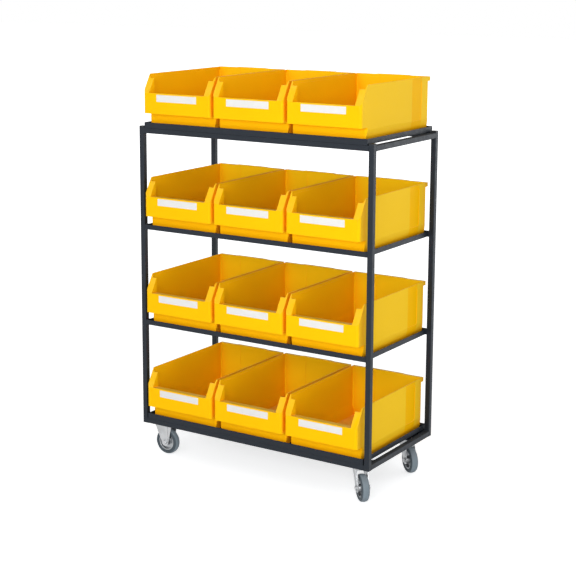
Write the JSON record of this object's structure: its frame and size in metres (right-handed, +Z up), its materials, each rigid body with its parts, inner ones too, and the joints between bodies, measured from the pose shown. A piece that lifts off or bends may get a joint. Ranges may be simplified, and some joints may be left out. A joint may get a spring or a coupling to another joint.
{
  "type": "picking trolley",
  "caption": "Tall square-tube trolley on fixed and swivel casters, with lipped trays holding rows of open-fronted yellow storage bins for picking small parts.",
  "frame": {"origin": "middle of the overall footprint at floor level", "axes": "+X to the right end with the swivel casters, -Y to the open fronts of the bins, +Z up"},
  "size_m": [1, 0.5, 1.4803],
  "materials": {
    "frame_paint": "satin powder coat, anthracite",
    "cap_plastic": "matte black",
    "bin_plastic": "satin moulded yellow",
    "label_card": "matte white, blank",
    "zinc_steel": "bright zinc plate",
    "wheel_centre": "zinc plate",
    "tyre_rubber": "matte grey rubber"
  },
  "bodies": {
    "frame": {"post_front_left": "frame_paint", "post_front_right": "frame_paint", "post_rear_left": "frame_paint", "post_rear_right": "frame_paint", "post_caps": "cap_plastic", "top_long_rails": "frame_paint", "top_cross_rails": "frame_paint", "bottom_long_rails": "frame_paint", "bottom_cross_rails": "frame_paint", "tray_bottom": "frame_paint", "tray_lower": "frame_paint", "tray_upper": "frame_paint", "tray_top": "frame_paint", "tray_spacers": "frame_paint", "caster_mounting_plates": "frame_paint", "fixed_bracket_front": "zinc_steel", "fixed_axle_front": "zinc_steel", "fixed_bracket_rear": "zinc_steel", "fixed_axle_rear": "zinc_steel", "swivel_plate_front": "zinc_steel", "swivel_kingpin_front": "zinc_steel", "swivel_plate_rear": "zinc_steel", "swivel_kingpin_rear": "zinc_steel", "caster_bolts": "zinc_steel"},
    "wheel_fixed_front": {"fixed_hub_front": "wheel_centre", "fixed_tyre_front": "tyre_rubber"},
    "fork_front": {"swivel_fork_front": "zinc_steel", "swivel_axle_front": "zinc_steel"},
    "wheel_swivel_front": {"swivel_hub_front": "wheel_centre", "swivel_tyre_front": "tyre_rubber"},
    "wheel_fixed_rear": {"fixed_hub_rear": "wheel_centre", "fixed_tyre_rear": "tyre_rubber"},
    "fork_rear": {"swivel_fork_rear": "zinc_steel", "swivel_axle_rear": "zinc_steel"},
    "wheel_swivel_rear": {"swivel_hub_rear": "wheel_centre", "swivel_tyre_rear": "tyre_rubber"},
    "bin_bottom_left": {"bin_bottom_left": "bin_plastic", "label_bottom_left": "label_card"},
    "bin_bottom_middle": {"bin_bottom_middle": "bin_plastic", "label_bottom_middle": "label_card"},
    "bin_bottom_right": {"bin_bottom_right": "bin_plastic", "label_bottom_right": "label_card"},
    "bin_lower_left": {"bin_lower_left": "bin_plastic", "label_lower_left": "label_card"},
    "bin_lower_middle": {"bin_lower_middle": "bin_plastic", "label_lower_middle": "label_card"},
    "bin_lower_right": {"bin_lower_right": "bin_plastic", "label_lower_right": "label_card"},
    "bin_upper_left": {"bin_upper_left": "bin_plastic", "label_upper_left": "label_card"},
    "bin_upper_middle": {"bin_upper_middle": "bin_plastic", "label_upper_middle": "label_card"},
    "bin_upper_right": {"bin_upper_right": "bin_plastic", "label_upper_right": "label_card"},
    "bin_top_left": {"bin_top_left": "bin_plastic", "label_top_left": "label_card"},
    "bin_top_middle": {"bin_top_middle": "bin_plastic", "label_top_middle": "label_card"},
    "bin_top_right": {"bin_top_right": "bin_plastic", "label_top_right": "label_card"}
  },
  "joints": [
    {"name": "wheel_fixed_front_spin", "type": "hinge", "parent": "frame", "child": "wheel_fixed_front", "pos_m": [-0.4275, -0.1675, 0.05], "axis": [0, 1, 0], "continuous": true},
    {"name": "fork_front_swivel", "type": "hinge", "parent": "frame", "child": "fork_front", "pos_m": [0.43, -0.1675, 0.118], "axis": [0, 0, 1], "continuous": true},
    {"name": "wheel_swivel_front_spin", "type": "hinge", "parent": "fork_front", "child": "wheel_swivel_front", "pos_m": [0.4534, -0.18932, 0.05], "axis": [0.682, 0.7314, 0], "continuous": true},
    {"name": "wheel_fixed_rear_spin", "type": "hinge", "parent": "frame", "child": "wheel_fixed_rear", "pos_m": [-0.4275, 0.1875, 0.05], "axis": [0, 1, 0], "continuous": true},
    {"name": "fork_rear_swivel", "type": "hinge", "parent": "frame", "child": "fork_rear", "pos_m": [0.43, 0.1875, 0.118], "axis": [0, 0, 1], "continuous": true},
    {"name": "wheel_swivel_rear_spin", "type": "hinge", "parent": "fork_rear", "child": "wheel_swivel_rear", "pos_m": [0.45522, 0.1678, 0.05], "axis": [0.6157, 0.788, 0], "continuous": true},
    {"name": "bin_bottom_left_lift", "type": "slide", "parent": "frame", "child": "bin_bottom_left", "axis": [0, -0.6, 0.8], "range_m": [0, 0.18]},
    {"name": "bin_bottom_middle_lift", "type": "slide", "parent": "frame", "child": "bin_bottom_middle", "axis": [0, -0.6, 0.8], "range_m": [0, 0.18]},
    {"name": "bin_bottom_right_lift", "type": "slide", "parent": "frame", "child": "bin_bottom_right", "axis": [0, -0.6, 0.8], "range_m": [0, 0.18]},
    {"name": "bin_lower_left_lift", "type": "slide", "parent": "frame", "child": "bin_lower_left", "axis": [0, -0.6, 0.8], "range_m": [0, 0.18]},
    {"name": "bin_lower_middle_lift", "type": "slide", "parent": "frame", "child": "bin_lower_middle", "axis": [0, -0.6, 0.8], "range_m": [0, 0.18]},
    {"name": "bin_lower_right_lift", "type": "slide", "parent": "frame", "child": "bin_lower_right", "axis": [0, -0.6, 0.8], "range_m": [0, 0.18]},
    {"name": "bin_upper_left_lift", "type": "slide", "parent": "frame", "child": "bin_upper_left", "axis": [0, -0.6, 0.8], "range_m": [0, 0.18]},
    {"name": "bin_upper_middle_lift", "type": "slide", "parent": "frame", "child": "bin_upper_middle", "axis": [0, -0.6, 0.8], "range_m": [0, 0.18]},
    {"name": "bin_upper_right_lift", "type": "slide", "parent": "frame", "child": "bin_upper_right", "axis": [0, -0.6, 0.8], "range_m": [0, 0.18]},
    {"name": "bin_top_left_lift", "type": "slide", "parent": "frame", "child": "bin_top_left", "axis": [0, -0.6, 0.8], "range_m": [0, 0.18]},
    {"name": "bin_top_middle_lift", "type": "slide", "parent": "frame", "child": "bin_top_middle", "axis": [0, -0.6, 0.8], "range_m": [0, 0.18]},
    {"name": "bin_top_right_lift", "type": "slide", "parent": "frame", "child": "bin_top_right", "axis": [0, -0.6, 0.8], "range_m": [0, 0.18]}
  ]
}
